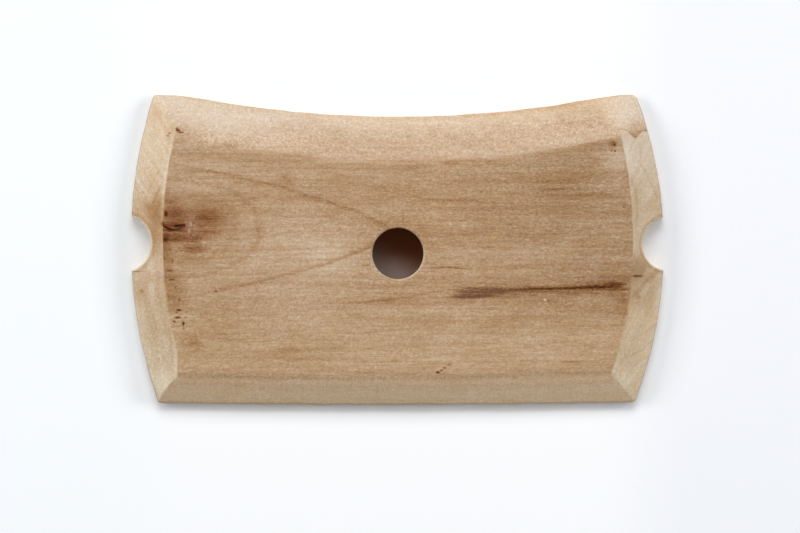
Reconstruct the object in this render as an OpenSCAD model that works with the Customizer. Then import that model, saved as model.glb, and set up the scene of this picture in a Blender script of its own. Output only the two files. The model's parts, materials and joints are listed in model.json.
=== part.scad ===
// A pottery rib: a bevelled hardwood hand tool that shapes and smooths wet clay.
// One piece of wood. The bevelled front faces +Z, the flat back lies on Z = 0, and the
// hollow edge is towards +Y. The origin is the centre of the hole, on the back.

/* [Blank] */
// Overall length, over the two bowed ends
rib_l = 100; // [80:1:130]
// Distance from the hole's centre to the middle of the straight edge
straight_y = 28.3; // [24:0.1:36]
// Distance from the hole's centre to the middle of the hollow edge
hollow_y = 25.9; // [22:0.1:34]
// Thickness of the blank
rib_t = 6.4; // [5:0.1:10]
// Thickness left at the working edges, below the bevels
edge_t = 1.8; // [1:0.1:3]

/* [Edges] */
// Radius of the two bowed ends
end_r = 85; // [70:1:120]
// Radius of the hollow edge
hollow_r = 220; // [140:5:400]
// Radius of the straight edge, which is bowed only slightly
straight_r = 1800; // [600:50:3000]
// Radius of the tips, where the ends meet the hollow edge
tip_r = 1; // [0.4:0.1:3]
// Radius of the heels, where the ends meet the straight edge
heel_r = 0.6; // [0.4:0.1:3]
// Chamfer that eases the edges of the back
back_ease = 0.3; // [0.1:0.05:0.6]

/* [Bevels] */
// Width of the bevel along the hollow edge
hollow_bevel = 8; // [5:0.1:12]
// Width of the bevel along the straight edge
straight_bevel = 5.8; // [4:0.1:10]
// Width of the bevels across the two ends
end_bevel = 5.9; // [4:0.1:10]
// Height by which each bevel swells above a flat cut
bevel_crown = 0.25; // [0.1:0.05:0.5]

/* [Hole and notches] */
// Diameter of the hole
hole_d = 9.6; // [6:0.1:16]
// Chamfer that eases the front rim of the hole
hole_ease = 0.3; // [0.1:0.05:0.8]
// Height of the notches and of the ends' crowns above the hole's centre
grip_y = 1.7; // [-4:0.1:6]
// Diameter of the notches in the ends
notch_d = 10; // [6:0.1:16]
// Depth of the notches below the crowns of the ends
notch_depth = 3.7; // [2:0.1:5]

/* [Hidden] */
// Facets round the long edge arcs, and round the hole, notches and corners
arc_fn = 720;
round_fn = 96;
// Cutters reach this far past what they cut
over = 1;
// A corner's round is drawn this much larger than tangent, so it crosses its edges cleanly
round_swell = 1.02;
// The turned ring of the hollow edge is at least this deep, so it holds the whole rib
ring_depth = rib_l + straight_y + hollow_y;
// Centres of the right end's arc, the hollow edge's arc and the straight edge's arc
end_centre = [rib_l / 2 - end_r, grip_y];
hollow_centre = [0, hollow_y + hollow_r];
straight_centre = [0, straight_r - straight_y];

// Length of the straight line across a bevel, from the thin edge up to the flat front
function bevel_chord(bevel_w) = norm([bevel_w, rib_t - edge_t]);

// Radius of the arc that rises bevel_crown above that line
function crown_r(bevel_w) = pow(bevel_chord(bevel_w), 2) / (8 * bevel_crown) + bevel_crown / 2;

// Centre of that arc, in the section's own plane
function crown_centre(bevel_w) =
    [bevel_w, rib_t + edge_t] / 2
    + [rib_t - edge_t, -bevel_w] / bevel_chord(bevel_w) * (crown_r(bevel_w) - bevel_crown);

function unit(v) = v / norm(v);

// The point at distance da from a and db from b, on the right of the line from a to b
function meeting_point(a, da, b, db) =
    let (
        gap = norm(b - a),
        along = (da * da - db * db + gap * gap) / (2 * gap),
        aside = sqrt(da * da - along * along),
        way = unit(b - a)
    )
    a + along * way + aside * [way[1], -way[0]];

// Section through an edge. X runs from the edge into the wood, Y is height above the back.
module edge_section(bevel_w, depth) {
    difference() {
        square([depth, rib_t]);
        difference() {
            translate([-over, 0])
                square([crown_centre(bevel_w)[0] + over, rib_t + over]);
            translate(crown_centre(bevel_w))
                circle(r = crown_r(bevel_w), $fn = arc_fn);
        }
        rotate(45)
            square(back_ease * sqrt(2), center = true);
    }
}

// A disc with the edge section round its rim, for the edges that bow outwards
module bowed_edge(centre, r, bevel_w) {
    translate(centre)
        rotate_extrude($fn = arc_fn)
            translate([r, 0])
                mirror([1, 0])
                    edge_section(bevel_w, r);
}

// A ring with the edge section round its inside, for the edge that is hollow
module hollowed_edge(centre, r, bevel_w) {
    translate(centre)
        rotate_extrude($fn = arc_fn)
            translate([r, 0])
                edge_section(bevel_w, ring_depth);
}

// The wood that all four turned edges share, with its bevels mitred at the corners
module bevelled_blank() {
    intersection() {
        bowed_edge(end_centre, end_r, end_bevel);
        mirror([1, 0, 0])
            bowed_edge(end_centre, end_r, end_bevel);
        bowed_edge(straight_centre, straight_r, straight_bevel);
        hollowed_edge(hollow_centre, hollow_r, hollow_bevel);
    }
}

// Waste outside a corner's round. The round is centred on p and meets the two edges
// in the directions out_a and out_b.
module corner_waste(p, out_a, out_b, r) {
    reach = 2 * r;
    translate([0, 0, -over])
        linear_extrude(rib_t + 2 * over)
            difference() {
                polygon([
                    p,
                    p + reach * out_a,
                    p + reach * (out_a + out_b),
                    p + reach * out_b,
                ]);
                translate(p)
                    circle(r = round_swell * r, $fn = round_fn);
            }
}

module tip_waste() {
    p = meeting_point(end_centre, end_r - tip_r, hollow_centre, hollow_r + tip_r);
    corner_waste(p, unit(p - end_centre), unit(hollow_centre - p), tip_r);
}

module heel_waste() {
    p = meeting_point(end_centre, end_r - heel_r, straight_centre, straight_r - heel_r);
    corner_waste(p, unit(p - end_centre), unit(p - straight_centre), heel_r);
}

// The drilled hole, with its front rim eased
module hole_waste() {
    translate([0, 0, -over])
        cylinder(d = hole_d, h = rib_t + 2 * over, $fn = round_fn);
    translate([0, 0, rib_t - hole_ease])
        cylinder(
            d1 = hole_d,
            d2 = hole_d + 2 * (hole_ease + over),
            h = hole_ease + over,
            $fn = round_fn
        );
}

// The round notch that is drilled into the middle of the right end
module notch_waste() {
    translate([rib_l / 2 - notch_depth + notch_d / 2, grip_y, -over])
        cylinder(d = notch_d, h = rib_t + 2 * over, $fn = round_fn);
}

module rib() {
    color("burlywood")
        difference() {
            bevelled_blank();
            hole_waste();
            for (side = [0, 1])
                mirror([side, 0, 0]) {
                    tip_waste();
                    heel_waste();
                    notch_waste();
                }
        }
}

rib();
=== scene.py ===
"""A hardwood pottery rib on a white studio floor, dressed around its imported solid.

The wood is one closed mesh of columns and rings. Each column starts at the wall of the
hole, runs out over the front, down the rim and back under the rib. Lengths are in
millimetres, X to the right and Y towards the hollow edge, from the centre of the hole.
"""

import json
import math

import bpy
import numpy as np
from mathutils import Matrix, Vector


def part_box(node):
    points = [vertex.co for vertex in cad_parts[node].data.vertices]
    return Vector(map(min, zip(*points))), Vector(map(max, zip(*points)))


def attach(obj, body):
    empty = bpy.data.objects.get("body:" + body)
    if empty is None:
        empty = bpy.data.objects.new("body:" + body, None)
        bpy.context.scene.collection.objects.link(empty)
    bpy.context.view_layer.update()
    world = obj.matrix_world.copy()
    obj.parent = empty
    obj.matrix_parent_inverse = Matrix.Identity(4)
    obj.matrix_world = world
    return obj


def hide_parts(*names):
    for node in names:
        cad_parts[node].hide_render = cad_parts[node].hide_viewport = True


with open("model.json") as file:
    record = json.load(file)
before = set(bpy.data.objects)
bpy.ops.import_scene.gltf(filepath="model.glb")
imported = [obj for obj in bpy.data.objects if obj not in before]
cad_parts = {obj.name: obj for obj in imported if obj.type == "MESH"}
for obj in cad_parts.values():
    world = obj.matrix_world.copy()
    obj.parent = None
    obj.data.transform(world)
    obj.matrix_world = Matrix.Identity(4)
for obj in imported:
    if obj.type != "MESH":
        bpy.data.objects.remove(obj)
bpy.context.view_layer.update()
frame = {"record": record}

MM = 0.001

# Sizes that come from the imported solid
rib_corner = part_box("rib")[1]
hole_mount = next(mount for mount in frame["record"]["mounts"] if mount["name"] == "hole")
THICKNESS = rib_corner.z / MM
HOLE_R = hole_mount["dims"]["r_mm"]

# The rim and the bevels
EDGE = 1.8
CROWN = 0.25
RIM_ROUND = 0.3
BACK_ROUND = 0.25

# The rim seen from above. Each edge is a shallow arc: the middle of its length, its place
# across the rib there, and its radius, which is negative where it falls away on both sides
HOLLOW_EDGE = (-0.2, 25.73, 206)
STRAIGHT_EDGE = (-3, -28.4, 2200)
LEFT_EDGE = (2.16, -50.18, 91.2)
RIGHT_EDGE = (1.3, 50.01, -81.5)

# The hollow edge is worn off level at its tips
WORN_TIPS = 29.8

# The border of the flat front, in the same way. Its top is tilted, and its bottom is a
# parabola, with a factor in place of the radius. Its left side is upright at its ends.
BORDER_TOP = (-0.5, 16.95, 172)
BORDER_TOP_SLOPE = -0.006
BORDER_BOTTOM = (-8, -23.5, 0.0005)
BORDER_LEFT = (3, -43.85, 82)
BORDER_RIGHT = (3, 43.85, -82)
BORDER_LEFT_TIPS = -41.1

# Radii of the corners
RIGHT_HEEL_R = 0.9
RIGHT_TIP_R = 1.5
LEFT_TIP_R = 0.5
LEFT_HEEL_R = 0.5

# The notches, at the middles of the ends: centre and radius
LEFT_NOTCH = (-51.45, 1.90, 5.25)
RIGHT_NOTCH = (50.80, 1.80, 5.00)

# The knot's middle, where the mesh has closer columns
KNOT = (-42.4, 4.6)

# How uneven hand work leaves the bevels and the rim
BEVEL_RIPPLE = 0.05
RIM_RIPPLE = 0.05

# Columns of the mesh along each end, along each long edge and in each notch
END_COLUMNS = 130
LONG_COLUMNS = 190
NOTCH_COLUMNS = 34

# Rings of the mesh on the hole's wall, the flat, the bevels, the rim, the back and each round
WALL_RINGS = 8
FLAT_RINGS = 64
BEVEL_RINGS = 24
RIM_RINGS = 5
BACK_RINGS = 16
ROUND_RINGS = 3


def smooth_min(a, b, soft):
    """The lower of two heights, blended where they are within soft of each other."""
    share = np.clip(0.5 + 0.5 * (b - a) / soft, 0, 1)
    return b + (a - b) * share - soft * share * (1 - share)


def swell(offset, width):
    """1 where the offset is 0, and less the further it is from 0."""
    return np.exp(-((offset / width) ** 2))


def ramp(value, start, end):
    """A straight step from 0 at start to 1 at end."""
    return np.clip((value - start) / (end - start), 0, 1)


def sag(distance, radius):
    """How far a shallow arc has left its tangent at a distance from the point of contact."""
    square = distance * distance
    return square * (1 / (2 * radius)) * (1 + square * (1 / (4 * radius**2)))


def arc(edge, along):
    """Where an edge lies across the rib, at a place along it."""
    middle, across, radius = edge
    return across + sag(along - middle, radius)


def arch_top(x):
    return arc(HOLLOW_EDGE, x)


def rim_top(x):
    return smooth_min(arch_top(x), WORN_TIPS, 0.7)


def rim_bottom(x):
    return arc(STRAIGHT_EDGE, x)


def rim_left(y):
    return arc(LEFT_EDGE, y)


def rim_right(y):
    return arc(RIGHT_EDGE, y)


def flat_top(x):
    return arc(BORDER_TOP, x) + BORDER_TOP_SLOPE * x


def flat_bottom(x):
    middle, across, factor = BORDER_BOTTOM
    return across + factor * (x - middle) * (x - middle)


def flat_left_arc(y):
    return arc(BORDER_LEFT, y)


def flat_left(y):
    return smooth_min(flat_left_arc(y), BORDER_LEFT_TIPS, 0.8)


def flat_right(y):
    return arc(BORDER_RIGHT, y)


def ripple(x, y, size, seed):
    """A smooth random wave between about -1 and 1, with bumps of about this size."""
    rng = np.random.default_rng(seed)
    total = np.zeros(np.broadcast(x, y).shape)
    waves = 9
    for _ in range(waves):
        way = rng.uniform(0, math.tau)
        length = size * rng.uniform(1.4, 3.2)
        phase = rng.uniform(0, math.tau)
        along = x * math.cos(way) + y * math.sin(way)
        total += np.sin(math.tau * along / length + phase)
    return total / math.sqrt(waves)


def front_height(x, y):
    """Height of the front over the back, with soft arrises between the flat and the bevels."""
    soft_top = 0.35 + 0.25 / (1 + np.exp((x + 14) / 3))
    soft_bottom = 1.1
    soft_left = 0.2 + 1.1 * ramp(y, 19, 24) + 0.35 * swell(y + 8, 8)
    soft_right = 0.2 + 2.2 * ramp(y, 21.5, 24.5) + 0.45 * swell(y + 12, 8)
    bevels = (
        ((y - flat_top(x)) / (rim_top(x) - flat_top(x)), soft_top),
        ((flat_bottom(x) - y) / (flat_bottom(x) - rim_bottom(x)), soft_bottom),
        ((flat_left(y) - x) / (flat_left(y) - rim_left(y)), soft_left),
        ((x - flat_right(y)) / (rim_right(y) - flat_right(y)), soft_right),
    )
    height = np.full(np.shape(x), THICKNESS)
    for across, soft in bevels:
        inside = np.clip(across, 0, 1)
        bevel = THICKNESS - (THICKNESS - EDGE) * across + 4 * CROWN * inside * (1 - inside)
        height = smooth_min(height, bevel, soft)
    sloping = ramp(THICKNESS - height, 0, 0.6)
    return height + BEVEL_RIPPLE * sloping * ripple(x, y, size=9, seed=3)


def corner(edge_x, edge_y, x, y):
    """Where an end's arc meets a long edge's arc, closed in on from a first guess."""
    for _ in range(20):
        x, y = float(edge_x(y)), float(edge_y(x))
    return np.array([x, y])


def spread(start, end, count, peaks=()):
    """Values from start up to end, closer together round each peak (place, width, gain)."""
    fine = np.linspace(start, end, 2000)
    density = np.ones_like(fine)
    for place, width, gain in peaks:
        density += gain * swell(fine - place, width)
    reached = np.concatenate([[0], np.cumsum((density[1:] + density[:-1]) / 2)])
    return np.interp(np.linspace(0, reached[-1], count + 1)[:-1], reached, fine)


def rounded(points, at, radius):
    """Points of an outline with the corner nearest to at rounded to this radius."""
    nearest = int(np.argmin(np.hypot(*(points - at).T)))
    reach = 12
    before = points[nearest] - points[(nearest - reach) % len(points)]
    after = points[(nearest + reach) % len(points)] - points[nearest]
    before = before / np.hypot(*before)
    after = after / np.hypot(*after)
    half = 0.5 * math.acos(float(np.clip(-before @ after, -1, 1)))
    inward = (after - before) / np.hypot(*(after - before))
    centre = points[nearest] + inward * radius / math.sin(half)
    tangent = radius / math.tan(half)
    off = points - points[nearest]
    near = (off @ -before < tangent) & (off @ after < tangent) & (np.hypot(*off.T) < 3 * radius)
    away = points[near] - centre
    result = points.copy()
    result[near] = centre + radius * away / np.hypot(*away.T)[:, None]
    return result


def side_columns(count, rim, flat, notch=None, dense=()):
    """Rim and flat points of the columns along one side.

    rim and flat turn a share of the side, from 0 to 1, into a point. Where there is a
    notch, its mouth and its wall get their own columns.
    """
    peaks = ((0, 0.03, 5), (1, 0.03, 5)) + dense
    if notch is None:
        share = spread(0, 1, count, peaks)
        return rim(share), flat(share)
    centre = np.array(notch[:2])
    radius = notch[2]
    fine = np.linspace(0, 1, 6001)
    outer = rim(fine)
    inner = flat(fine)
    inside = np.flatnonzero(np.hypot(*(outer - centre).T) < radius)
    first = fine[inside[0]]
    last = fine[inside[-1]]
    cut = notch_wall(outer[inside], inner[inside], centre, radius)
    angle = np.unwrap(np.arctan2(cut[:, 1] - centre[1], cut[:, 0] - centre[0]))
    ends = np.linspace(angle[0], angle[-1], NOTCH_COLUMNS + 1)[:-1]
    order = np.argsort(angle)
    middle = np.interp(ends, angle[order], fine[inside][order])
    rest = count - NOTCH_COLUMNS
    below = spread(0, first, rest // 2, ((first, 0.02, 4),) + peaks)
    above = spread(last, 1, rest - rest // 2, ((last, 0.02, 4),) + peaks)
    rims = [rim(below), notch_wall(rim(middle), flat(middle), centre, radius), rim(above)]
    return np.vstack(rims), flat(np.concatenate([below, middle, above]))


def notch_wall(outer, inner, centre, radius):
    """Where the line from each inner to each outer point first meets the notch's circle."""
    way = outer - inner
    off = inner - centre
    a = (way**2).sum(1)
    b = 2 * (way * off).sum(1)
    c = (off**2).sum(1) - radius**2
    root = (-b - np.sqrt(np.maximum(b * b - 4 * a * c, 0))) / (2 * a)
    return inner + way * root[:, None]


def upright(edge, start, end):
    """Turn a share of the way from start to end into a point on an end's edge."""

    def at(share):
        y = start + (end - start) * share
        return np.column_stack([edge(y), y])

    return at


def level(edge, start, end):
    """Turn a share of the way from start to end into a point on a long edge."""

    def at(share):
        x = start + (end - start) * share
        return np.column_stack([x, edge(x)])

    return at


def columns():
    """The rim and flat points of every column, anticlockwise from the right-hand heel."""
    right_heel = corner(rim_right, rim_bottom, 45, -28)
    right_tip = corner(rim_right, rim_top, 45, 30)
    left_tip = corner(rim_left, rim_top, -45, 30)
    left_heel = corner(rim_left, rim_bottom, -45, -28)
    low_right = corner(flat_right, flat_bottom, 40, -22)
    high_right = corner(flat_right, flat_top, 40, 22)
    high_left = corner(flat_left, flat_top, -40, 22)
    low_left = corner(flat_left, flat_bottom, -40, -22)
    knot_share = (left_tip[1] - KNOT[1]) / (left_tip[1] - left_heel[1])
    sides = [
        side_columns(
            END_COLUMNS,
            upright(rim_right, right_heel[1], right_tip[1]),
            upright(flat_right, low_right[1], high_right[1]),
            notch=RIGHT_NOTCH,
        ),
        side_columns(
            LONG_COLUMNS,
            level(rim_top, right_tip[0], left_tip[0]),
            level(flat_top, high_right[0], high_left[0]),
        ),
        side_columns(
            END_COLUMNS,
            upright(rim_left, left_tip[1], left_heel[1]),
            upright(flat_left, high_left[1], low_left[1]),
            notch=LEFT_NOTCH,
            dense=((knot_share, 0.025, 5),),
        ),
        side_columns(
            LONG_COLUMNS,
            level(rim_bottom, left_heel[0], right_heel[0]),
            level(flat_bottom, low_left[0], low_right[0]),
        ),
    ]
    rim = np.vstack([outer for outer, inner in sides])
    flat = np.vstack([inner for outer, inner in sides])
    rim = rounded(rim, right_tip, RIGHT_TIP_R)
    rim = rounded(rim, left_tip, LEFT_TIP_R)
    rim = rounded(rim, left_heel, LEFT_HEEL_R)
    rim = rounded(rim, right_heel, RIGHT_HEEL_R)
    return rim, flat


def outward(points):
    """Unit vectors that point out of a closed anticlockwise outline, at each of its points."""
    way = np.roll(points, -1, 0) - np.roll(points, 1, 0)
    way /= np.hypot(*way.T)[:, None]
    return np.column_stack([way[:, 1], -way[:, 0]])


def bend(start, control, end, steps):
    """Points along a quadratic curve, without its two ends."""
    for share in np.linspace(0, 1, steps + 2)[1:-1]:
        yield (1 - share) ** 2 * start + 2 * share * (1 - share) * control + share**2 * end


def lifted(points, height):
    """Flat points with a height added as their third number."""
    return np.column_stack([points, np.broadcast_to(height, len(points))])


def front(points):
    return lifted(points, front_height(points[:, 0], points[:, 1]))


def rings():
    """The rings of the wood in order: up the hole, over the front, down the rim, under the back."""
    rim, flat = columns()
    uneven = ripple(rim[:, 0], rim[:, 1], size=2.5, seed=7)
    rim = rim - outward(rim) * RIM_RIPPLE * uneven[:, None]
    normal = outward(rim)
    shoulder = rim - normal * RIM_ROUND
    foot = rim - normal * BACK_ROUND
    spoke = flat / np.hypot(*flat.T)[:, None]
    hole = spoke * HOLE_R
    lip = spoke * (HOLE_R + RIM_ROUND)
    made = [lifted(hole, z) for z in np.linspace(BACK_ROUND, THICKNESS - RIM_ROUND, WALL_RINGS)]
    made += bend(made[-1], lifted(hole, THICKNESS), front(lip), ROUND_RINGS)
    for share in spread(0, 1, FLAT_RINGS, ((0, 0.02, 3), (1, 0.04, 4))):
        made.append(front(lip + (flat - lip) * share))
    for share in spread(0, 1, BEVEL_RINGS, ((0, 0.15, 2), (1, 0.1, 1))):
        made.append(front(flat + (shoulder - flat) * share))
    top = front(shoulder)
    arris = front(rim)
    wall_top = arris - np.array([0, 0, RIM_ROUND])
    wall_foot = lifted(rim, BACK_ROUND)
    made.append(top)
    made += bend(top, arris, wall_top, ROUND_RINGS)
    for share in np.linspace(0, 1, RIM_RINGS):
        made.append(wall_top + (wall_foot - wall_top) * share)
    made += bend(wall_foot, lifted(rim, 0), lifted(foot, 0), ROUND_RINGS)
    back_lip = spoke * (HOLE_R + BACK_ROUND)
    for share in np.linspace(0, 1, BACK_RINGS):
        made.append(lifted(foot + (back_lip - foot) * share, 0))
    made += bend(lifted(back_lip, 0), lifted(hole, 0), lifted(hole, BACK_ROUND), ROUND_RINGS)
    return made


def build_wood():
    """The rib's mesh, closed round the hole and round the rim."""
    made = rings()
    count = len(made[0])
    vertices = np.vstack(made) * MM
    faces = []
    for ring in range(len(made)):
        here = ring * count
        there = (ring + 1) % len(made) * count
        for column in range(count):
            beside = (column + 1) % count
            faces.append((here + column, there + column, there + beside, here + beside))
    mesh = bpy.data.meshes.new("rib_wood")
    mesh.from_pydata(vertices.tolist(), [], faces)
    mesh.polygons.foreach_set("use_smooth", [True] * len(faces))
    mesh.update()
    wood = bpy.data.objects.new("rib_wood", mesh)
    bpy.context.scene.collection.objects.link(wood)
    return wood


class Field:
    """A number that shader nodes work out at each point, with ordinary arithmetic on it.

    New nodes go into the tree of the material that is being made.
    """

    tree = None

    def __init__(self, socket):
        self.socket = socket

    def __add__(self, other):
        return calc("ADD", self, other)

    def __sub__(self, other):
        return calc("SUBTRACT", self, other)

    def __rsub__(self, other):
        return calc("SUBTRACT", other, self)

    def __mul__(self, other):
        return calc("MULTIPLY", self, other)

    def __truediv__(self, other):
        return calc("DIVIDE", self, other)

    def __pow__(self, other):
        return calc("POWER", self, other)

    def __neg__(self):
        return calc("MULTIPLY", self, -1)

    def __abs__(self):
        return calc("ABSOLUTE", self)

    __radd__ = __add__
    __rmul__ = __mul__


def feed(socket, value):
    """Link a field or a socket to an input, or set the input to a plain value."""
    if isinstance(value, Field):
        value = value.socket
    if isinstance(value, bpy.types.NodeSocket):
        Field.tree.links.new(value, socket)
    elif isinstance(value, tuple):
        socket.default_value = (*value, 1)[: len(socket.default_value)]
    else:
        socket.default_value = value


def calc(operation, *values):
    """The result of one arithmetic node."""
    node = Field.tree.nodes.new("ShaderNodeMath")
    node.operation = operation
    for socket, value in zip(node.inputs, values):
        feed(socket, value)
    return Field(node.outputs[0])


def larger(a, b):
    return calc("MAXIMUM", a, b)


def smaller(a, b):
    return calc("MINIMUM", a, b)


def rise(value, start, end, top=1.0):
    """A smooth step from 0 at start to top at end. It falls where end is below start."""
    node = Field.tree.nodes.new("ShaderNodeMapRange")
    node.interpolation_type = "SMOOTHSTEP"
    feed(node.inputs["Value"], value)
    feed(node.inputs["From Min"], min(start, end))
    feed(node.inputs["From Max"], max(start, end))
    feed(node.inputs["To Min"], 0 if start < end else top)
    feed(node.inputs["To Max"], top if start < end else 0)
    return Field(node.outputs["Result"])


def steep(value, soft):
    """A step from 0 to 1 where the value passes 0, over this width on both sides."""
    scaled = value / soft * 0.5 + 0.5
    return smaller(larger(scaled, 0), 1)


def bell(value, width):
    """1 where the value is 0, and less the further it is from 0."""
    scaled = value / width
    return calc("EXPONENT", -(scaled * scaled))


def join(x, y, z=0.0):
    """A vector socket from three numbers."""
    node = Field.tree.nodes.new("ShaderNodeCombineXYZ")
    for socket, value in zip(node.inputs, (x, y, z)):
        feed(socket, value)
    return node.outputs[0]


def noise(x, y, z=0.0, detail=2.0, rough=0.5, seed=0):
    """Random values round 0, mostly within 1, with bumps about one unit across."""
    node = Field.tree.nodes.new("ShaderNodeTexNoise")
    feed(node.inputs["Vector"], join(x + 7.31 * seed, y - 4.17 * seed, z))
    feed(node.inputs["Scale"], 1.0)
    feed(node.inputs["Detail"], detail)
    feed(node.inputs["Roughness"], rough)
    return (Field(node.outputs["Fac"]) - 0.5) * 4


# The sockets of a Mix node that hold colours
MIX_A = 6
MIX_B = 7
MIX_RESULT = 2


def blend(share, a, b):
    """Colour a where the share is 0 and colour b where it is 1."""
    node = Field.tree.nodes.new("ShaderNodeMix")
    node.data_type = "RGBA"
    feed(node.inputs["Factor"], share)
    feed(node.inputs[MIX_A], a)
    feed(node.inputs[MIX_B], b)
    return node.outputs[MIX_RESULT]


def deepen(colour, depth):
    """Darken a colour the way stain does, which leaves it richer."""
    node = Field.tree.nodes.new("ShaderNodeGamma")
    feed(node.inputs["Color"], colour)
    feed(node.inputs["Gamma"], larger(depth + 1, 0.2))
    return node.outputs["Color"]


def patch(where, at, size, depth=1.0, crisp=0.0):
    """A soft oval mark: its depth at its middle, and half of that near its half sizes."""
    scaled = Field.tree.nodes.new("ShaderNodeVectorMath")
    scaled.operation = "MULTIPLY_ADD"
    feed(scaled.inputs[0], where)
    feed(scaled.inputs[1], (1 / size[0], 1 / size[1], 0))
    feed(scaled.inputs[2], (-at[0] / size[0], -at[1] / size[1], 0))
    length = Field.tree.nodes.new("ShaderNodeVectorMath")
    length.operation = "LENGTH"
    feed(length.inputs[0], scaled.outputs[0])
    return rise(Field(length.outputs["Value"]), 1.75 - 0.15 * crisp, 0.15 * crisp, depth)


def stroke(offset, width, along, start, end, fade=2.0):
    """A line where offset is 0, drawn from start to end along another measure."""
    return bell(offset, width) * rise(along, start, start + fade) * rise(along, end, end - fade)


# Colours of the faces of the wood, as linear values
FLAT_LEFT = (0.510, 0.342, 0.206)
FLAT_MIDDLE = (0.480, 0.302, 0.170)
FLAT_RIGHT = (0.425, 0.268, 0.151)
FLAT_LOW = (0.515, 0.345, 0.203)
TOP_INNER = (0.545, 0.378, 0.248)
TOP_OUTER = (0.700, 0.550, 0.392)
TOP_LEFT = (0.668, 0.532, 0.408)
TOP_RIGHT = (0.690, 0.566, 0.437)
TOP_RIM = (0.640, 0.450, 0.290)
# The straight edge's bevel is paler than the flat, partly its own tone and partly painted light for
# light the lamps give it too little of
BOTTOM_INNER_WITH_PAINTED_LIGHT = (0.730, 0.515, 0.318)
BOTTOM_OUTER_WITH_PAINTED_LIGHT = (0.845, 0.625, 0.396)
BOTTOM_LEFT_WITH_PAINTED_LIGHT = (0.835, 0.605, 0.375)
LEFT_HIGH = (0.765, 0.600, 0.422)
LEFT_MIDDLE = (0.680, 0.520, 0.365)
LEFT_LOW = (0.650, 0.500, 0.335)
RIGHT_HIGH = (0.648, 0.532, 0.408)
RIGHT_MIDDLE = (0.610, 0.475, 0.335)
RIGHT_LOW = (0.640, 0.485, 0.320)
CREAM_WEAR_AND_HIGHLIGHT = (0.850, 0.745, 0.570)
RIM_LONG = (0.600, 0.400, 0.215)
RIM_END = (0.500, 0.400, 0.275)

# Colours that tint the wood in places
# The pale colour serves both pale marks of the wood and painted highlights and glints
PALE_AND_HIGHLIGHT = (0.86, 0.72, 0.54)
KNOT_RED = (0.440, 0.235, 0.145)
KNOT_SCRATCHES = (0.56, 0.42, 0.33)
STREAK_GREY = (0.20, 0.145, 0.115)
GOLDEN = (0.57, 0.365, 0.150)
ROSY = (0.47, 0.33, 0.24)

# The scratches on the knot, and a pale fleck below the streak: middle, half sizes and share
SCRATCHED = ((-38.4, 5.0), (1.2, 2.2), 0.65)
PALE_FLECK = ((27.5, -8.65), (0.24, 0.20), 0.8)

# The largest ring round the knot: its middle, half sizes and squareness
KNOT_RING = ((-43.8, 4.7), (18.0, 9.2), 2.2)

# Grain lines over the flat: height at the middle, slope, half width, where each starts and
# ends, how gently it does so, and depth of colour
GRAIN_LINES = (
    (-14.2, 0.115, 0.22, -14, 19, 6, 0.18),
    (-20.0, 0.115, 0.22, -12, 32, 6, 0.18),
    (-19.6, 0.0, 0.30, -40, -12, 6, 0.14),
    (16.9, -0.05, 0.45, 10, 36, 6, 0.16),
    (14.0, 0.0, 0.90, 18, 42, 8, 0.24),
    (12.1, 0.0, 0.22, 25, 36, 4, 0.38),
    (13.7, 0.0, 0.25, 0, 22, 6, 0.14),
    (10.6, -0.064, 0.22, -2, 30, 6, 0.16),
    (6.6, -0.02, 0.18, -26, -8, 5, 0.16),
)

# Warm and pale patches on the front: middle, half sizes and depth of colour
PATCHES = (
    ((-20.9, 13.8), (1.7, 1.1), 0.30),
    ((-31.0, 20.2), (2.2, 0.7), 0.40),
    ((-20.5, 18.2), (4.5, 0.6), 0.15),
    ((-14.0, 16.3), (17.0, 1.5), -0.10),
    ((9.8, 17.0), (2.2, 0.5), 0.30),
    ((-2.4, -8.8), (2.2, 0.7), 0.30),
    ((24.0, -12.1), (6.5, 0.7), 0.26),
    ((24.5, 7.6), (11.0, 1.7), 0.16),
    ((30.0, 12.0), (9.0, 2.0), 0.08),
    ((41.0, 15.0), (2.4, 5.0), -0.14),
    ((41.0, 18.5), (3.2, 2.6), -0.20),
    ((8.0, 15.2), (26.0, 1.5), -0.06),
    ((-31.5, 0.8), (4.0, 2.0), 0.12),
    ((35.0, -6.6), (5.5, 1.6), 0.18),
    ((33.0, -10.5), (8.0, 2.4), 0.08),
    ((-1.5, 5.8), (7.0, 1.1), 0.14),
    ((-38.7, -16.6), (1.7, 1.3), 0.35),
    ((-20.6, -17.8), (2.6, 0.6), 0.28),
    ((-18.8, -14.4), (1.5, 1.2), 0.14),
    ((-42.2, -7.0), (2.5, 3.8), 0.46),
    ((-34.0, -12.5), (11.0, 5.0), 0.16),
    ((-20.0, -21.2), (24.0, 1.6), 0.07),
    ((-36.0, -1.5), (4.0, 1.6), 0.14),
    ((-11.0, 0.9), (6.5, 2.4), -0.22),
    ((-18.0, -1.2), (14.0, 4.5), -0.18),
    ((-13.0, -1.5), (4.0, 3.4), -0.13),
    ((-39.5, 0.8), (6.5, 2.2), 0.24),
    ((14.0, -0.6), (15.0, 2.6), -0.16),
    ((-3.0, -14.0), (5.0, 2.0), -0.09),
    ((41.0, -5.0), (3.4, 2.2), 0.30),
    ((42.0, -10.0), (1.3, 3.4), 0.28),
    ((32.0, -20.2), (1.6, 0.25), 0.45),
    ((40.2, 20.4), (0.8, 0.7), 0.65),
    ((33.5, 24.3), (3.0, 0.8), 0.25),
    ((31.5, 27.5), (8.5, 1.0), 0.24),
    ((35.0, 26.2), (7.0, 3.0), 0.10),
    ((16.5, 25.6), (8.0, 1.0), 0.14),
)

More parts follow.
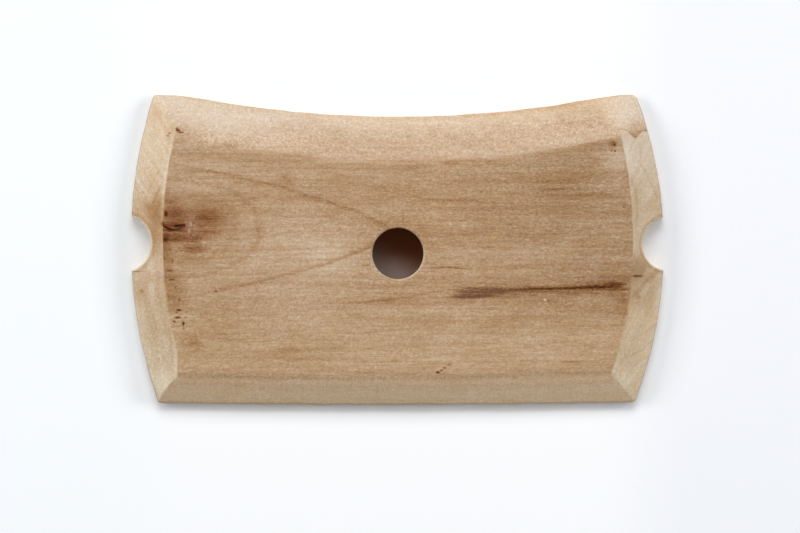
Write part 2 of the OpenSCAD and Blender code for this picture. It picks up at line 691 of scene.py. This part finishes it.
# The same on the ends' bevels
END_PATCHES = (
    ((-45.2, 6.0), (2.1, 4.6), 0.95),
    ((-47.2, 8.0), (2.8, 2.4), 0.38),
    ((-46.2, 10.4), (1.6, 2.4), 0.14),
    ((-48.9, 8.4), (0.9, 2.0), 0.14),
    ((-48.2, -7.4), (1.4, 2.0), 0.38),
    ((-46.0, -4.6), (1.8, 1.2), 0.22),
    ((-42.5, 21.5), (1.0, 4.5), 0.30),
    ((-45.2, 26.6), (1.6, 1.6), 0.22),
    ((45.0, -3.0), (2.0, 2.4), 0.82),
    ((43.6, -6.0), (1.4, 3.0), 0.30),
    ((45.0, -9.0), (1.6, 2.0), 0.25),
    ((47.6, -8.2), (1.2, 4.2), 0.34),
)

# The knot's spots
KNOT_PATCHES = (
    ((-37.6, 5.9), (5.8, 3.8), 0.80),
    ((-35.8, 6.8), (3.6, 1.8), 1.15),
    ((-38.4, 2.9), (2.4, 1.2), 1.20),
    ((-41.6, 6.6), (3.0, 2.8), 1.10),
    ((-42.0, 9.2), (2.2, 1.8), 0.50),
    ((-41.8, 4.9), (2.9, 1.2), 1.80),
    ((-41.6, 3.0), (3.4, 0.9), 1.55),
    ((-43.2, 3.0), (0.9, 1.0), 2.00),
    ((-38.2, 0.9), (2.6, 0.8), 0.80),
    ((-42.6, 9.7), (1.6, 0.6), 0.75),
    ((-43.4, 4.0), (1.2, 8.0), 0.60),
)

# Where the surface is raised into pale fuzz with painted glints of light on it: middle, half sizes and
# strength
FUZZ_AND_GLINTS = (
    ((-31.0, 21.0), (9.5, 1.9), 1.0),
    ((-22.0, 21.5), (9.0, 2.2), 1.0),
    ((34.0, 23.6), (10.5, 1.9), 1.0),
    ((26.0, 20.9), (9.0, 1.2), 0.7),
    ((17.0, 22.2), (10.0, 1.1), 0.6),
    ((17.0, 19.2), (10.0, 0.9), 0.5),
    ((-20.0, -9.0), (13.0, 5.0), 0.5),
    ((-16.0, 6.0), (12.0, 5.0), 0.4),
)

# Pits: middle, half sizes and depth
PITS = (
    ((-41.30, 23.20), (0.26, 0.30), 2.0),
    ((-41.00, 22.90), (0.36, 0.22), 2.2),
    ((-40.50, 22.62), (0.48, 0.16), 1.8),
    ((-42.65, 22.45), (0.30, 0.20), 1.5),
    ((-43.05, 22.05), (0.30, 0.18), 1.4),
    ((-40.82, -10.60), (0.46, 0.15), 2.0),
    ((-41.05, -12.00), (0.46, 0.20), 2.0),
    ((-41.75, -12.77), (0.26, 0.16), 1.8),
    ((-40.05, -13.12), (0.20, 0.34), 2.2),
    ((-40.82, -8.68), (0.28, 0.22), 0.9),
    ((-41.28, -10.97), (0.25, 0.16), 0.9),
    ((-39.41, -10.97), (0.30, 0.12), 0.7),
    ((-39.65, -11.95), (0.30, 0.14), 0.7),
    ((-40.00, -14.05), (0.20, 0.20), 0.7),
    ((-42.22, -4.90), (0.52, 0.15), 1.3),
    ((-42.56, -3.27), (0.60, 0.18), 0.9),
    ((-41.50, -6.44), (0.20, 0.20), 0.7),
    ((-42.10, -1.50), (0.18, 0.45), 0.8),
    ((-33.95, -7.05), (0.22, 0.15), 1.4),
    ((-43.30, 7.40), (0.28, 0.50), 2.0),
    ((-43.90, 5.60), (0.30, 0.35), 1.5),
    ((-43.20, 2.70), (0.50, 0.30), 1.6),
    ((-47.75, 11.45), (0.35, 0.28), 0.6),
    ((-48.00, -7.07), (0.45, 0.35), 0.8),
    ((7.45, -22.25), (0.36, 0.18), 2.0),
    ((8.05, -21.85), (0.34, 0.16), 1.3),
    ((8.70, -21.40), (0.36, 0.16), 1.5),
    ((9.60, -20.90), (0.40, 0.14), 0.8),
    ((42.2, 8.6), (0.16, 0.14), 1.8),
    ((44.85, -4.25), (1.00, 0.20), 2.0),
    ((45.0, -8.2), (0.50, 0.40), 0.5),
    ((39.9, 19.2), (0.16, 0.14), 1.4),
    ((40.6, 19.1), (0.18, 0.18), 1.5),
    ((40.5, 20.3), (0.16, 0.40), 1.2),
)


class Wood:
    """Where a point is on the rib, and the random fields that several of its marks share."""

    def __init__(self, tree):
        place = tree.nodes.new("ShaderNodeTexCoord")

        def parts(output):
            node = tree.nodes.new("ShaderNodeSeparateXYZ")
            feed(node.inputs[0], place.outputs[output])
            return [Field(socket) for socket in node.outputs]

        x, y, z = (part * (1 / MM) for part in parts("Object"))
        nx, _, nz = parts("Normal")
        self.x = x
        self.y = y
        self.z = z
        self.nz = nz
        self.endwise = rise(abs(nx), 0.35, 0.65)

        # Grain along X: bands, streaks, thin lines and short fibres
        self.bands = noise(x / 40, y / 2.2, z / 2.2, 3, 0.55, seed=1)
        self.streaks = noise(x / 12, y / 0.55, z / 0.55, 3, 0.6, seed=2)
        self.thin = bell(noise(x / 16, y / 1.3, z / 1.3, 1, 0.5, seed=9), 0.10)
        self.fibres = noise(x / 0.55, y / 0.18, z / 0.18, 1, 0.6, seed=3)
        self.grit = noise(x / 0.42, y / 0.42, z / 0.42, 1, 0.6, seed=4)
        self.mottle = noise(x / 1.5, y / 0.7, z / 0.7, 2, 0.6, seed=13)
        self.cloud = noise(x / 8, y / 5, z / 5, 3, 0.5, seed=5)
        self.hue = noise(x / 6, y / 1.6, z / 1.6, 3, 0.6, seed=14)
        self.sanding = noise(x / 0.28, y / 4, z / 4, 2, 0.5, seed=6)
        self.wander = noise(x / 7, y / 7, 0.0, 2, 0.5, seed=7)
        self.drift = noise(x / 2.2, y / 2.2, 0.0, 2, 0.5, seed=8)

        # How far a point is across each bevel, from 0 at the flat to 1 at the rim
        self.up = (y - flat_top(x)) / (arch_top(x) - flat_top(x))
        self.down = (flat_bottom(x) - y) / (flat_bottom(x) - rim_bottom(x))
        left_border = smaller(flat_left_arc(y), BORDER_LEFT_TIPS)
        self.west = (left_border - x) / (left_border - rim_left(y))
        self.east = (x - flat_right(y)) / (rim_right(y) - flat_right(y))

        # Which face a point is on
        self.front = rise(nz, 0.2, 0.5)
        tips = rise(y, 17, 24)
        soft = 0.03 + 0.25 * tips
        ragged = 0.012 * self.drift + 0.008 * self.grit + 0.03 * self.drift * bell(y + 11, 6)
        west = self.west + ragged
        east = self.east + ragged
        top = rise(self.up * (1 + 1.2 * rise(x, 2, 14)), -0.02, 0.10)
        bottom = rise(self.down + ragged, -0.05, 0.19)
        west_step = rise(west / (1 + 2.0 * bell(y + 10, 5.5)), -0.01, 0.03)
        east_step = rise(east / (1 + 3.0 * bell(y + 12, 7)), -0.01, 0.03)
        left = west_step * steep(west - self.up, soft) * steep(west - self.down, 0.02)
        right = east_step * steep(east - self.up, soft) * steep(east - self.down, 0.02)
        # The wavy edge of the right bevel's grain, below the upper right tip
        self.dip = y - 23.1 + 1.35 * bell(x - 44.4, 1.0) + 0.15 * self.drift
        right = right * rise(self.dip, 0.12, -0.12)
        self.top = top * self.front
        self.bottom = bottom * self.front
        self.left = left * self.front
        self.right = right * self.front
        self.ends = larger(self.left, self.right)
        self.lengthways = 1 - self.ends
        self.flat = rise(abs(nz), 0.90, 0.98)
        self.on_flat = (1 - top) * (1 - bottom) * (1 - self.ends) * self.front


def base_colour(w):
    """The colour of each face before the grain and the marks."""
    x, y = w.x, w.y
    colour = blend(rise(x, -42, 0), FLAT_LEFT, FLAT_MIDDLE)
    colour = blend(rise(x, 0, 42), colour, FLAT_RIGHT)
    colour = blend(rise(y, -6, -16), colour, FLAT_LOW)
    outer = blend(rise(x, -2, -24), TOP_OUTER, TOP_LEFT)
    outer = blend(rise(x, 37, 43), outer, TOP_RIGHT)
    inner = w.up + 0.08 * w.drift + 0.40 * rise(x, -20, -34) + 0.45 * rise(x, 37, 42)
    top = blend(rise(inner, 0.45, 0.95), TOP_INNER, outer)
    strip = rise(w.up + 0.03 * w.drift, 0.84, 0.98) * (0.40 + 0.40 * rise(x, -20, -8))
    top = blend(strip, top, TOP_RIM)
    colour = blend(w.top, colour, top)
    # The straight edge's bevel, painted paler partly as painted light
    outer = blend(rise(x, -8, -30), BOTTOM_OUTER_WITH_PAINTED_LIGHT, BOTTOM_LEFT_WITH_PAINTED_LIGHT)
    bottom = blend(rise(w.down, 0.1, 0.6), BOTTOM_INNER_WITH_PAINTED_LIGHT, outer)
    colour = blend(w.bottom, colour, bottom)
    left = blend(rise(y, 9, 21), LEFT_MIDDLE, LEFT_HIGH)
    left = blend(rise(y, -6, -12), left, LEFT_LOW)
    right = blend(rise(y, 9, 21), RIGHT_MIDDLE, RIGHT_HIGH)
    right = blend(rise(y, -6, -12), right, RIGHT_LOW)
    colour = blend(w.left, colour, left)
    colour = blend(w.right, colour, right)
    edge = larger(w.west * w.left, w.east * w.right) + 0.09 * w.wander + 0.05 * w.drift
    # Cream on the outer lower parts of the end bevels: partly wear and partly a painted highlight
    wear_and_highlight = rise(edge, 0.45, 0.95) * rise(y, -4, -10) * (0.32 - 0.06 * w.right)
    wear_and_highlight = larger(wear_and_highlight, (0.6 * w.left + 0.3 * w.right) * rise(y, -19, -24))
    colour = blend(wear_and_highlight, colour, CREAM_WEAR_AND_HIGHLIGHT)
    rim = blend(w.endwise, RIM_LONG, RIM_END)
    return blend(rise(abs(w.nz), 0.70, 0.45), colour, rim)


def grain(w):
    """The darker and paler parts of the grain."""
    stain = 0.12 * w.bands * w.lengthways * (0.4 + 0.6 * w.flat)
    stain += 0.13 * w.streaks * w.lengthways * (0.5 + 0.5 * w.flat)
    stain += 0.12 * w.thin * w.flat
    calm = larger(rise(w.x, 0, -16), rise(w.y, -8, -16))
    stain += (0.21 - 0.04 * calm) * w.fibres * (0.25 + 0.75 * w.flat)
    wall = (1 - w.front) * (1 - w.endwise)
    stain += 0.27 * w.grit * (1 - 0.45 * w.flat - 0.30 * w.right - 0.55 * wall)
    stain += (0.30 * w.streaks + 0.16 * w.bands) * wall
    stain += 0.08 * w.mottle
    stain += 0.08 * w.cloud
    return stain + 0.10 * w.sanding * w.bottom


def growth_rings(w):
    """The rings round the knot and the grain lines that follow them over the flat."""
    x = w.x
    wx = x + 0.5 * w.wander
    wy = w.y + 0.25 * w.wander + 0.12 * w.drift
    # Closed rings round the knot, and pointed ones that reach towards the hole
    middle, half, square = KNOT_RING
    ring_x = abs((wx - middle[0]) / half[0])
    ring_y = abs((wy - middle[1]) / half[1])
    inner = (ring_x**square + ring_y**square) ** (1 / square) - 1
    beside = abs(wy - 4.0)
    outer = (wx + 1.5 + 0.58 * beside**1.66) / (1 + 0.9 * beside**0.66)
    rings = 0.26 * bell(inner, 0.045) * rise(x, -48, -42) * (0.8 + 0.2 * rise(w.y, 9, 4))
    rings += 0.10 * bell(inner + 0.25, 0.06) * rise(x, -44, -34)
    rings += 0.32 * bell(outer + 0.25, 0.30) * rise(x, -42, -34)
    rings += 0.10 * rise(outer, 0.1, -0.1) * rise(outer, -3.0, -0.1)
    rings += 0.08 * bell(outer + 3.2, 0.3) * rise(x, -36, -26)
    # Two curved grain lines, and the straight ones
    lower = wy + 9.2 - 0.0065 * (wx + 11) * (wx + 11)
    rings += 0.28 * stroke(lower, 0.24, x, -19, 11.5, 6)
    upper = wy - 15.7 - 0.0045 * (wx + 6) * (wx + 6)
    rings += 0.08 * stroke(upper, 0.45, x, -32, 14, 8)
    for height, slope, width, start, end, fade, depth in GRAIN_LINES:
        rings += depth * stroke(wy - height - slope * wx, width, x, start, end, fade)
    # Three short lines beside the hole
    rings += 0.40 * stroke(w.y + 1.3 - 0.03 * (x + 15), 0.13, x, -20, -10.5, 3)
    rings += 0.90 * stroke(w.y + 2.2, 0.10, x, -6.9, -4.9, 0.6)
    rings += 0.55 * stroke(wy + 2.7, 0.16, x, 4.8, 14.5, 3)
    return rings * (0.75 + 0.35 * w.cloud + 0.25 * w.fibres) * w.on_flat


def patches(w):
    """The warm and the pale patches of the front."""
    where = join(w.x + 0.5 * w.wander, w.y + 0.2 * w.streaks)
    total = 0.0
    for at, size, depth in PATCHES:
        total = total + patch(where, at, size, depth)
    return total * w.front * (0.9 + 0.3 * w.fibres)


def end_marks(w):
    """The rings that cross the end bevels, and their brown and grey marks."""
    x, y = w.x, w.y
    upper = rise(y, 0, 4)
    lower = rise(y, 2, -3)
    across = larger(w.west * 5, w.east * 5) * (1 - upper) - abs(x) * upper
    along = y * 0.52 * upper - y * 0.30 * w.right * lower
    crossing = noise((across + along) / 0.9, y / 9, 0.0, 2, 0.6, seed=11)
    stain = (0.24 * w.left + 0.16 * w.right) * crossing
    west = w.west + 0.05 * w.wander
    stain += 0.20 * bell(west - 0.58, 0.12) * w.left * rise(y, -22, -16) * rise(y, -4, -8)
    stain += 0.22 * bell(west - 0.85, 0.12) * w.left * rise(y, -1, -3) * rise(y, -12, -8)
    stain += 0.14 * bell(west - 0.20, 0.10) * w.left * rise(y, 20, 6)
    # A pale line along the left bevel's inner arris, partly wear and partly a painted highlight
    stain += -0.22 * bell(w.west - 0.05 - 0.02 * w.drift, 0.05) * w.left * rise(y, 3, 8)
    where = join(x + 0.3 * w.drift, y + 0.3 * w.wander)
    for at, size, depth in END_PATCHES:
        stain += patch(where, at, size, depth, crisp=1) * w.ends
    # The dark lip below the right notch, and three slanting lines above the left one
    lip = y + 5.9 - 1.09 * (x - 46.0) + 0.3 * w.drift
    stain += 0.62 * bell(lip, 0.80) * rise(x, 43.4, 44.4) * w.right * (0.85 + 0.5 * w.drift)
    slope = x + 45.4 - 0.5 * (y - 10.4)
    stain += 0.32 * bell(slope + 0.2 * w.drift, 0.28) * w.left * rise(y, 8, 9.5) * rise(y, 14, 12)
    stain += 0.24 * bell(slope - 1.5, 0.22) * w.left * rise(y, 6, 7.5) * rise(y, 12, 10)
    stain += 0.26 * bell(slope + 1.9, 0.26) * w.left * rise(y, 9, 11) * rise(y, 17, 14)
    # The wavy edge below the upper right tip, and two lines along the bevel below it
    stain += 0.42 * bell(w.dip, 0.17) * rise(x, 41.2, 42.2) * w.front
    fork = x - 45.5 - 0.5 * larger(17 - y, 0) + 0.2 * w.drift
    stain += 0.22 * bell(fork, 0.28) * w.right * rise(y, 9, 11) * rise(y, 21, 19)
    arch = x - 44.7 + 0.055 * larger(y - 9.5, 0) ** 2 + 0.15 * w.drift
    stain += 0.22 * bell(arch, 0.3) * w.right * rise(y, 4.5, 6.5) * rise(y, 15.5, 13.5)
    stain += 0.16 * w.right * bell(y - 8.0, 4.5)
    # Three slanting lines low on the right bevel
    slant = y + 18.0 - 0.68 * (x - 45.5) + 0.2 * w.drift
    stain += 0.26 * bell(slant, 0.20) * rise(x, 43.0, 44.0) * w.right
    stain += 0.18 * bell(slant + 2.2, 0.22) * rise(x, 43.5, 44.5) * w.right
    stain += 0.16 * bell(slant - 2.6, 0.25) * rise(x, 44.5, 45.5) * w.right
    return stain


def knot(w):
    """The knot at the left, with its dark heart and the halo round it."""
    where = join(w.x + 0.5 * w.drift, w.y + 0.45 * w.streaks + 0.12 * w.fibres)
    total = 0.0
    for at, size, depth in KNOT_PATCHES:
        total = larger(total, patch(where, at, size, depth, crisp=1))
    return total * larger(0.86 + 0.17 * w.fibres + 0.22 * w.streaks, 0) * w.on_flat


def streak(w):
    """The mineral streak at the right: a dark line with a layered grey wedge at its left end.

    It returns the depth of its stain, and how grey it is.
    """
    x, y = w.x, w.y
    line = y + 6.72 - 0.00126 * larger(x - 18, 0) ** 2 + 0.05 * w.wander + 0.08 * w.streaks
    core = 1.48 * stroke(line, 0.29 + 0.16 * rise(x, 24, 18), x, 11.6, 43.0, 2)
    start = 0.70 * stroke(line + 0.05, 0.14, x, 8.6, 15, 2)
    lower = y + 7.95 - 0.05 * (x - 13) + 0.12 * w.streaks
    wedge = 1.40 * stroke(lower, 0.45, x, 9.0, 19.5, 3.5)
    between = 1.38 * stroke(y + 7.15 + 0.20 * w.streaks, 0.5, x, 9.6, 22.5, 3.5)
    haze = 0.60 * stroke(line + 0.30, 0.98, x, 9.5, 43, 4)
    tail = 0.45 * stroke(line + 0.75, 0.18, x, 34, 44, 3)
    where = join(x + 0.3 * w.drift, y)
    end = patch(where, (40.3, -5.75), (1.9, 0.50), 0.75) + patch(where, (36.8, -6.2), (2.2, 0.45), 0.5)
    wedge = larger(wedge, between)
    total = larger(larger(core, wedge), larger(haze, larger(tail, start))) + end
    layers = larger(0.85 + 0.45 * w.streaks + 0.30 * w.fibres, 0.15)
    grey = larger(wedge * 0.45, haze * 0.5) * rise(x, 28, 20)
    return total * layers * w.on_flat, smaller(grey, 1) * w.on_flat


def pits(w):
    """The pits and the crack in the knot, as depths of stain."""
    x, y = w.x, w.y
    where = join(x + 0.08 * w.drift, y + 0.08 * w.fibres)
    total = 0.0
    for at, size, depth in PITS:
        total = larger(total, patch(where, at, size, depth, crisp=1))
    crack_line = y - 4.45 - 0.18 * (x + 41.8) * (x + 41.8) + 0.10 * w.drift + 0.05 * w.streaks
    crack = 2.3 * stroke(crack_line, 0.19, x, -44.6, -39.8, 0.8)
    upper = y - 5.05 - 0.1 * (x + 41.6) + 0.06 * w.drift
    crack = larger(crack, 2.5 * stroke(upper, 0.24, x, -42.0, -39.4, 0.6))
    return larger(total, crack) * w.front


def fuzz_and_glints(w):
    """How far the surface is raised into pale fuzz with painted glints of light on it, from 0 to 1."""
    where = join(w.x, w.y + 0.3 * w.wander)
    total = 0.0
    for at, size, depth in FUZZ_AND_GLINTS:
        total = larger(total, patch(where, at, size, depth, crisp=1))
    fine = noise(w.x / 0.27, w.y / 0.25, w.z / 0.27, 1, 0.6, seed=16)
    # Pale flecks on the fuzz, painted as glints of light
    glint_flecks = rise(fine - 0.4 * w.grit - 0.3 * w.mottle, -0.3, 0.9)
    return total * (0.08 + 0.36 * glint_flecks) * w.front


def rim_wear_highlights_and_shade(w):
    """The pale rims of the notches and of the lower right of the hole, partly wear and partly a
    painted highlight on their rounded edges, and the painted shade beside the notches' rims.
    """
    x, y = w.x, w.y
    hole = bell(calc("SQRT", x * x + y * y) - (HOLE_R + 0.15), 0.22) * rise(x - y, 2, 6)

    def mouth(notch):
        across = x - notch[0]
        up = y - notch[1]
        return calc("SQRT", across * across + up * up) - notch[2]

    left = mouth(LEFT_NOTCH)
    right = mouth(RIGHT_NOTCH)
    bright = larger(0.9 * bell(left - 0.10, 0.16), 0.5 * bell(right - 0.10, 0.15))
    shade = larger(bell(left - 0.6, 0.3), bell(right - 0.45, 0.25))
    # The pale rims: partly wear and partly a painted highlight
    wear_and_highlight = larger(hole * 0.4, bright) * (0.80 + 0.3 * w.drift)
    return smaller(wear_and_highlight, 1) * rise(w.nz, 0.1, 0.4), shade * w.front


def wood_material():
    """The wood with all its marks.

    It is close to the number of values that the renderer can hold for one material. Past
    that number the wood turns black without an error, so a change needs a look at the render.
    """
    material = bpy.data.materials.new("hardwood")
    material.use_nodes = True
    tree = Field.tree = material.node_tree
    shader = tree.nodes["Principled BSDF"]
    w = Wood(tree)
    holes = pits(w)
    # Pale rims, partly wear and partly a painted highlight, and painted shade beside the notches' rims
    wear_and_highlight, shade = rim_wear_highlights_and_shade(w)
    dark_streak, grey_streak = streak(w)
    knotted = knot(w)
    stain = grain(w) + growth_rings(w) + patches(w) + end_marks(w) + knotted + dark_streak
    tinted = blend(smaller(knotted, 1) * 0.35, base_colour(w), KNOT_RED)
    colour = deepen(tinted, stain + holes + 0.35 * shade)
    colour = blend(rise(w.hue, 0.1, 1.3) * 0.42, colour, GOLDEN)
    colour = blend(rise(-w.hue, 0.1, 1.3) * 0.22, colour, ROSY)
    colour = blend(grey_streak * 0.5, colour, STREAK_GREY)
    # Pale fuzz with painted glints of light
    colour = blend(fuzz_and_glints(w), colour, PALE_AND_HIGHLIGHT)
    scratched = patch(join(w.x, w.y), *SCRATCHED, crisp=1)
    scratches = rise(noise(w.x / 0.25, w.y / 1.2, 0.0, 1, 0.6, seed=12) + 0.5 * w.grit, -0.1, 0.7)
    colour = blend(scratched * scratches * w.on_flat, colour, KNOT_SCRATCHES)
    colour = blend(patch(join(w.x, w.y), *PALE_FLECK, crisp=1), colour, PALE_AND_HIGHLIGHT)
    # The pale rims, partly wear and partly a painted highlight
    colour = blend(wear_and_highlight, colour, PALE_AND_HIGHLIGHT)
    feed(shader.inputs["Base Color"], colour)
    feed(shader.inputs["Roughness"], 0.68 + 0.06 * w.cloud)
    shader.inputs["Specular IOR Level"].default_value = 0.1
    height = 0.5 * w.fibres * w.flat + 0.7 * w.grit * (1 - 0.5 * w.flat) + 0.3 * w.streaks
    bump = tree.nodes.new("ShaderNodeBump")
    feed(bump.inputs["Height"], height - 2 * holes)
    feed(bump.inputs["Distance"], 0.03 * MM)
    feed(bump.inputs["Strength"], 0.7)
    feed(shader.inputs["Normal"], bump.outputs["Normal"])
    return material


# The floor's size and its small drop below the rib, in metres
FLOOR_HALF = 1.5
FLOOR_DROP = 0.00002

# The floor's colours: as it lights the rib, as the camera sees it, with painted shade on the right of
# the rib and on its left, and in the tooth of the paper
FLOOR_LIT = (0.85, 0.85, 0.85)
FLOOR_SEEN = (1.032, 1.045, 1.058)
FLOOR_PAINTED_SHADE_RIGHT = (0.972, 0.985, 1.020)
FLOOR_PAINTED_SHADE_LEFT = (1.005, 1.036, 1.056)
FLOOR_TOOTH = (0.70, 0.70, 0.70)

# Painted shade and dim light on the floor down the hole, from its dark upper right to its greyer lower
# left
HOLE_PAINTED_SHADE = (0.180, 0.066, 0.032)
HOLE_PAINTED_DIM_LIGHT = (0.268, 0.213, 0.204)


def build_floor():
    """A wide white floor. The camera sees it bright white, less the rib's shadow.

    The light that gets down the hole is dim and brown, so the floor there is painted with that dim
    light and shade, and beside the rib's two ends it is painted with a little bluish shade.
    """
    mesh = bpy.data.meshes.new("floor")
    signs = [(-1, -1), (1, -1), (1, 1), (-1, 1)]
    corners = [(x * FLOOR_HALF, y * FLOOR_HALF, -FLOOR_DROP) for x, y in signs]
    mesh.from_pydata(corners, [], [(0, 1, 2, 3)])
    floor = bpy.data.objects.new("floor", mesh)
    bpy.context.scene.collection.objects.link(floor)
    material = bpy.data.materials.new("white_floor")
    material.use_nodes = True
    tree = Field.tree = material.node_tree
    tree.nodes.clear()
    place = tree.nodes.new("ShaderNodeTexCoord")
    split = tree.nodes.new("ShaderNodeSeparateXYZ")
    feed(split.inputs[0], place.outputs["Object"])
    x = Field(split.outputs["X"]) * (1 / MM)
    y = Field(split.outputs["Y"]) * (1 / MM)
    from_hole = calc("SQRT", x * x + y * y)
    # How far a point is towards the lower left of the hole
    down_left = x * -0.42 + y * -0.91
    painted_hole_light_and_shade = blend(rise(down_left, -1.9, 3.9), HOLE_PAINTED_SHADE, HOLE_PAINTED_DIM_LIGHT)
    out = tree.nodes.new("ShaderNodeOutputMaterial")
    diffuse = tree.nodes.new("ShaderNodeBsdfDiffuse")
    path = tree.nodes.new("ShaderNodeLightPath")
    # Painted shade on the floor beside the rib's right and left ends
    right_side = rise(x, 36, 56) * rise(x, 125, 85)
    left_side = rise(x, -40, -60) * rise(x, -125, -85)
    white = blend(right_side, FLOOR_SEEN, FLOOR_PAINTED_SHADE_RIGHT)
    white = blend(left_side, white, FLOOR_PAINTED_SHADE_LEFT)
    paper = noise(x / 0.7, y / 0.7, 0.0, 2, 0.6, seed=15)
    white = blend(0.04 + 0.02 * paper, white, FLOOR_TOOTH)
    colour = blend(path.outputs["Is Camera Ray"], FLOOR_LIT, white)
    # Down the hole the floor is painted with dim brown light and shade
    colour = blend(rise(from_hole, 6.5, 6.0), colour, painted_hole_light_and_shade)
    feed(diffuse.inputs["Color"], colour)
    # Far from the rib the camera sees plain white, up to the horizon
    glow = tree.nodes.new("ShaderNodeEmission")
    far = rise(from_hole, 100, 250) * Field(path.outputs["Is Camera Ray"])
    surface = tree.nodes.new("ShaderNodeMixShader")
    feed(surface.inputs[0], far)
    feed(surface.inputs[1], diffuse.outputs[0])
    feed(surface.inputs[2], glow.outputs[0])
    feed(out.inputs["Surface"], surface.outputs[0])
    mesh.materials.append(material)


# The world's light, which the camera sees as white
WORLD_LIGHT = (0.121, 0.128, 0.139)

# Each lamp's name, place, width and height in metres, and energy in watts
LAMPS = (
    ("key", (0.0, 1.10, 1.09), (1.2, 0.55), 13.9),
    ("left_side", (-0.82, 0.20, 0.52), (0.7, 0.26), 4.35),
    ("right_side", (0.82, 0.20, 0.52), (0.7, 0.26), 4.3),
    ("low_front", (0.0, -0.90, 0.38), (1.0, 0.3), 0.95),
)


def build_lights():
    """A key light above the hollow edge, low lights on the other sides and a pale world."""
    world = bpy.data.worlds.new("studio")
    world.use_nodes = True
    tree = Field.tree = world.node_tree
    background = tree.nodes["Background"]
    seen = tree.nodes.new("ShaderNodeLightPath").outputs["Is Camera Ray"]
    feed(background.inputs["Color"], blend(seen, WORLD_LIGHT, (1.0, 1.0, 1.0)))
    bpy.context.scene.world = world
    for name, place, size, energy in LAMPS:
        light = bpy.data.lights.new(name, "AREA")
        light.shape = "RECTANGLE"
        light.size, light.size_y = size
        light.energy = energy
        lamp = bpy.data.objects.new(name, light)
        bpy.context.scene.collection.objects.link(lamp)
        place = Vector(place)
        lamp.location = place
        lamp.rotation_euler = (-place).to_track_quat("-Z", "Y").to_euler()


# The photograph's size, its scale and the middle of its hole, in pixels
FRAME_W = 800
FRAME_H = 533
MM_PER_PIXEL = 0.188
HOLE_PIXEL = (397.8, 253.5)

# The camera's height above the rim, in metres, and the width of its sensor
CAMERA_HEIGHT = 0.7
SENSOR_WIDTH = 36


def build_camera():
    """A camera that looks straight down over the middle of the photograph."""
    data = bpy.data.cameras.new("camera")
    data.sensor_width = SENSOR_WIDTH
    width = FRAME_W * MM_PER_PIXEL * MM
    data.lens = data.sensor_width * CAMERA_HEIGHT / width
    data.clip_start = 0.01
    data.clip_end = 10
    camera = bpy.data.objects.new("camera", data)
    bpy.context.scene.collection.objects.link(camera)
    x = (FRAME_W / 2 - HOLE_PIXEL[0]) * MM_PER_PIXEL * MM
    y = (HOLE_PIXEL[1] - FRAME_H / 2) * MM_PER_PIXEL * MM
    camera.location = (x, y, CAMERA_HEIGHT + EDGE * MM)
    bpy.context.scene.camera = camera


wood = build_wood()
wood.data.materials.append(wood_material())
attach(wood, "root")
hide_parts("rib")
build_floor()
build_lights()
build_camera()
bpy.context.scene.view_settings.view_transform = "Standard"
